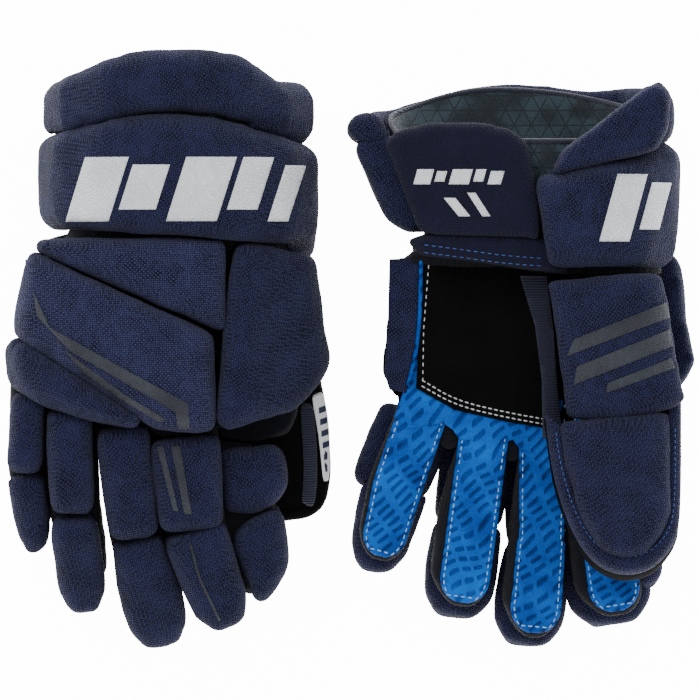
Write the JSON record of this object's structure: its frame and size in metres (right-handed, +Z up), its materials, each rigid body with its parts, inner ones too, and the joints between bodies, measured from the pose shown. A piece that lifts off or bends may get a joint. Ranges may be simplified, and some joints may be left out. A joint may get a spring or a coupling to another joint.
{
  "type": "hockey gloves",
  "caption": "Pair of padded ice-hockey gloves, one back up and one palm up, with bending fingers, thumb and cuff, leather palm and a lined cuff opening.",
  "frame": {"origin": "centre of the pair's footprint, on the surface that the gloves lie on", "axes": "+Y towards the cuffs, -Y towards the fingertips, +Z up, the right glove at -X and the left glove at +X"},
  "size_m": [0.4074, 0.3563, 0.1269],
  "materials": {
    "padding_cover": "dark navy woven nylon over foam, matt",
    "palm_blue": "bright blue synthetic leather with an embossed grid",
    "palm_black": "black synthetic suede, matt",
    "lining": "dark teal lining cloth"
  },
  "bodies": {
    "left_hand": {"left_backhand_lower_pad": "padding_cover", "left_backhand_middle_pad": "padding_cover", "left_backhand_side_panel": "padding_cover", "left_backhand_upper_pad": "padding_cover", "left_hand_shell": "palm_black", "left_thumb_base_pad": "padding_cover"},
    "left_cuff": {"left_cuff_band_pad": "padding_cover", "left_cuff_flare_pad": "padding_cover", "left_cuff_liner": "lining", "left_cuff_palm_tab": "padding_cover"},
    "left_index_distal": {"left_index_distal_pad": "padding_cover", "left_index_distal_sleeve": "palm_blue", "left_index_side_pad_distal": "padding_cover"},
    "left_index_proximal": {"left_index_proximal_pad": "padding_cover", "left_index_proximal_sleeve": "palm_blue", "left_index_side_pad_proximal": "padding_cover"},
    "left_little_distal": {"left_little_distal_pad": "padding_cover", "left_little_distal_sleeve": "palm_blue"},
    "left_little_proximal": {"left_little_proximal_pad": "padding_cover", "left_little_proximal_sleeve": "palm_blue"},
    "left_middle_distal": {"left_middle_distal_pad": "padding_cover", "left_middle_distal_sleeve": "palm_blue"},
    "left_middle_proximal": {"left_middle_proximal_pad": "padding_cover", "left_middle_proximal_sleeve": "palm_blue"},
    "left_ring_distal": {"left_ring_distal_pad": "padding_cover", "left_ring_distal_sleeve": "palm_blue"},
    "left_ring_proximal": {"left_ring_proximal_pad": "padding_cover", "left_ring_proximal_sleeve": "palm_blue"},
    "left_thumb": {"left_thumb_sleeve": "palm_black", "left_thumb_tip_pad": "padding_cover"},
    "right_hand": {"right_backhand_lower_pad": "padding_cover", "right_backhand_middle_pad": "padding_cover", "right_backhand_side_panel": "padding_cover", "right_backhand_upper_pad": "padding_cover", "right_hand_shell": "palm_black", "right_thumb_base_pad": "padding_cover"},
    "right_cuff": {"right_cuff_band_pad": "padding_cover", "right_cuff_flare_pad": "padding_cover", "right_cuff_liner": "lining", "right_cuff_palm_tab": "padding_cover"},
    "right_index_distal": {"right_index_distal_pad": "padding_cover", "right_index_distal_sleeve": "palm_blue", "right_index_side_pad_distal": "padding_cover"},
    "right_index_proximal": {"right_index_proximal_pad": "padding_cover", "right_index_proximal_sleeve": "palm_blue", "right_index_side_pad_proximal": "padding_cover"},
    "right_little_distal": {"right_little_distal_pad": "padding_cover", "right_little_distal_sleeve": "palm_blue"},
    "right_little_proximal": {"right_little_proximal_pad": "padding_cover", "right_little_proximal_sleeve": "palm_blue"},
    "right_middle_distal": {"right_middle_distal_pad": "padding_cover", "right_middle_distal_sleeve": "palm_blue"},
    "right_middle_proximal": {"right_middle_proximal_pad": "padding_cover", "right_middle_proximal_sleeve": "palm_blue"},
    "right_ring_distal": {"right_ring_distal_pad": "padding_cover", "right_ring_distal_sleeve": "palm_blue"},
    "right_ring_proximal": {"right_ring_proximal_pad": "padding_cover", "right_ring_proximal_sleeve": "palm_blue"},
    "right_thumb": {"right_thumb_sleeve": "palm_black", "right_thumb_tip_pad": "padding_cover"}
  },
  "joints": [
    {"name": "left_glove_lift", "type": "slide", "parent": "right_hand", "child": "left_hand", "axis": [0, 0, 1], "range_m": [0, 0.15]},
    {"name": "left_cuff_wrist", "type": "hinge", "parent": "left_hand", "child": "left_cuff", "pos_m": [0.11475, 0.06435, 0.003], "axis": [-0.9973, 0.0734, 0], "range_deg": [-2, 25]},
    {"name": "left_index_middle_joint", "type": "hinge", "parent": "left_index_proximal", "child": "left_index_distal", "pos_m": [0.15074, -0.10358, 0.06283], "axis": [-0.9932, -0.1163, 0.0022], "range_deg": [0, 25]},
    {"name": "left_index_knuckle", "type": "hinge", "parent": "left_hand", "child": "left_index_proximal", "pos_m": [0.14675, -0.04965, 0.06], "axis": [-0.9973, -0.0739, 0], "range_deg": [-5, 9]},
    {"name": "left_little_middle_joint", "type": "hinge", "parent": "left_little_proximal", "child": "left_little_distal", "pos_m": [0.02778, -0.08155, 0.06302], "axis": [-0.9576, 0.2881, 0.0026], "range_deg": [0, 75]},
    {"name": "left_little_knuckle", "type": "hinge", "parent": "left_hand", "child": "left_little_proximal", "pos_m": [0.04175, -0.04065, 0.06], "axis": [-0.9463, 0.3231, 0], "range_deg": [-5, 60]},
    {"name": "left_middle_middle_joint", "type": "hinge", "parent": "left_middle_proximal", "child": "left_middle_distal", "pos_m": [0.11375, -0.11357, 0.06314], "axis": [-0.9987, 0.0505, -0.0018], "range_deg": [0, 60]},
    {"name": "left_middle_knuckle", "type": "hinge", "parent": "left_hand", "child": "left_middle_proximal", "pos_m": [0.11475, -0.05365, 0.06], "axis": [-0.9999, 0.0167, 0], "range_deg": [-5, 14]},
    {"name": "left_ring_middle_joint", "type": "hinge", "parent": "left_ring_proximal", "child": "left_ring_distal", "pos_m": [0.07277, -0.10152, 0.06373], "axis": [-0.9914, 0.1309, 0], "range_deg": [0, 75]},
    {"name": "left_ring_knuckle", "type": "hinge", "parent": "left_hand", "child": "left_ring_proximal", "pos_m": [0.07975, -0.04865, 0.06], "axis": [-0.9914, 0.1309, 0], "range_deg": [-5, 60]},
    {"name": "left_thumb_bend", "type": "hinge", "parent": "left_hand", "child": "left_thumb", "pos_m": [0.16075, -0.04465, 0.087], "axis": [-1, 0, 0], "range_deg": [-6, 15]},
    {"name": "right_cuff_wrist", "type": "hinge", "parent": "right_hand", "child": "right_cuff", "pos_m": [-0.10365, 0.06435, 0.111], "axis": [0.9973, -0.0734, 0], "range_deg": [-2, 25]},
    {"name": "right_index_middle_joint", "type": "hinge", "parent": "right_index_proximal", "child": "right_index_distal", "pos_m": [-0.09466, -0.10458, 0.05116], "axis": [0.9758, 0.2186, 0.0067], "range_deg": [0, 40]},
    {"name": "right_index_knuckle", "type": "hinge", "parent": "right_hand", "child": "right_index_proximal", "pos_m": [-0.09965, -0.05065, 0.054], "axis": [0.9957, 0.0922, 0], "range_deg": [-5, 10]},
    {"name": "right_little_middle_joint", "type": "hinge", "parent": "right_little_proximal", "child": "right_little_distal", "pos_m": [-0.19463, -0.06824, 0.04815], "axis": [0.999, 0.0431, 0.0127], "range_deg": [0, 60]},
    {"name": "right_little_knuckle", "type": "hinge", "parent": "right_hand", "child": "right_little_proximal", "pos_m": [-0.19265, -0.02665, 0.054], "axis": [0.9989, -0.0476, 0], "range_deg": [-5, 60]},
    {"name": "right_middle_middle_joint", "type": "hinge", "parent": "right_middle_proximal", "child": "right_middle_distal", "pos_m": [-0.12921, -0.10719, 0.04651], "axis": [0.9832, 0.1822, 0.0075], "range_deg": [0, 75]},
    {"name": "right_middle_knuckle", "type": "hinge", "parent": "right_hand", "child": "right_middle_proximal", "pos_m": [-0.13665, -0.04665, 0.054], "axis": [0.9925, 0.122, 0], "range_deg": [-5, 60]},
    {"name": "right_ring_middle_joint", "type": "hinge", "parent": "right_ring_proximal", "child": "right_ring_distal", "pos_m": [-0.16667, -0.09209, 0.04606], "axis": [0.9972, 0.0748, 0.0068], "range_deg": [0, 75]},
    {"name": "right_ring_knuckle", "type": "hinge", "parent": "right_hand", "child": "right_ring_proximal", "pos_m": [-0.16815, -0.03565, 0.054], "axis": [0.9997, 0.0263, 0], "range_deg": [-5, 60]},
    {"name": "right_thumb_bend", "type": "hinge", "parent": "right_hand", "child": "right_thumb", "pos_m": [-0.05765, -0.04465, 0.027], "axis": [1, 0, 0], "range_deg": [-6, 15]}
  ]
}
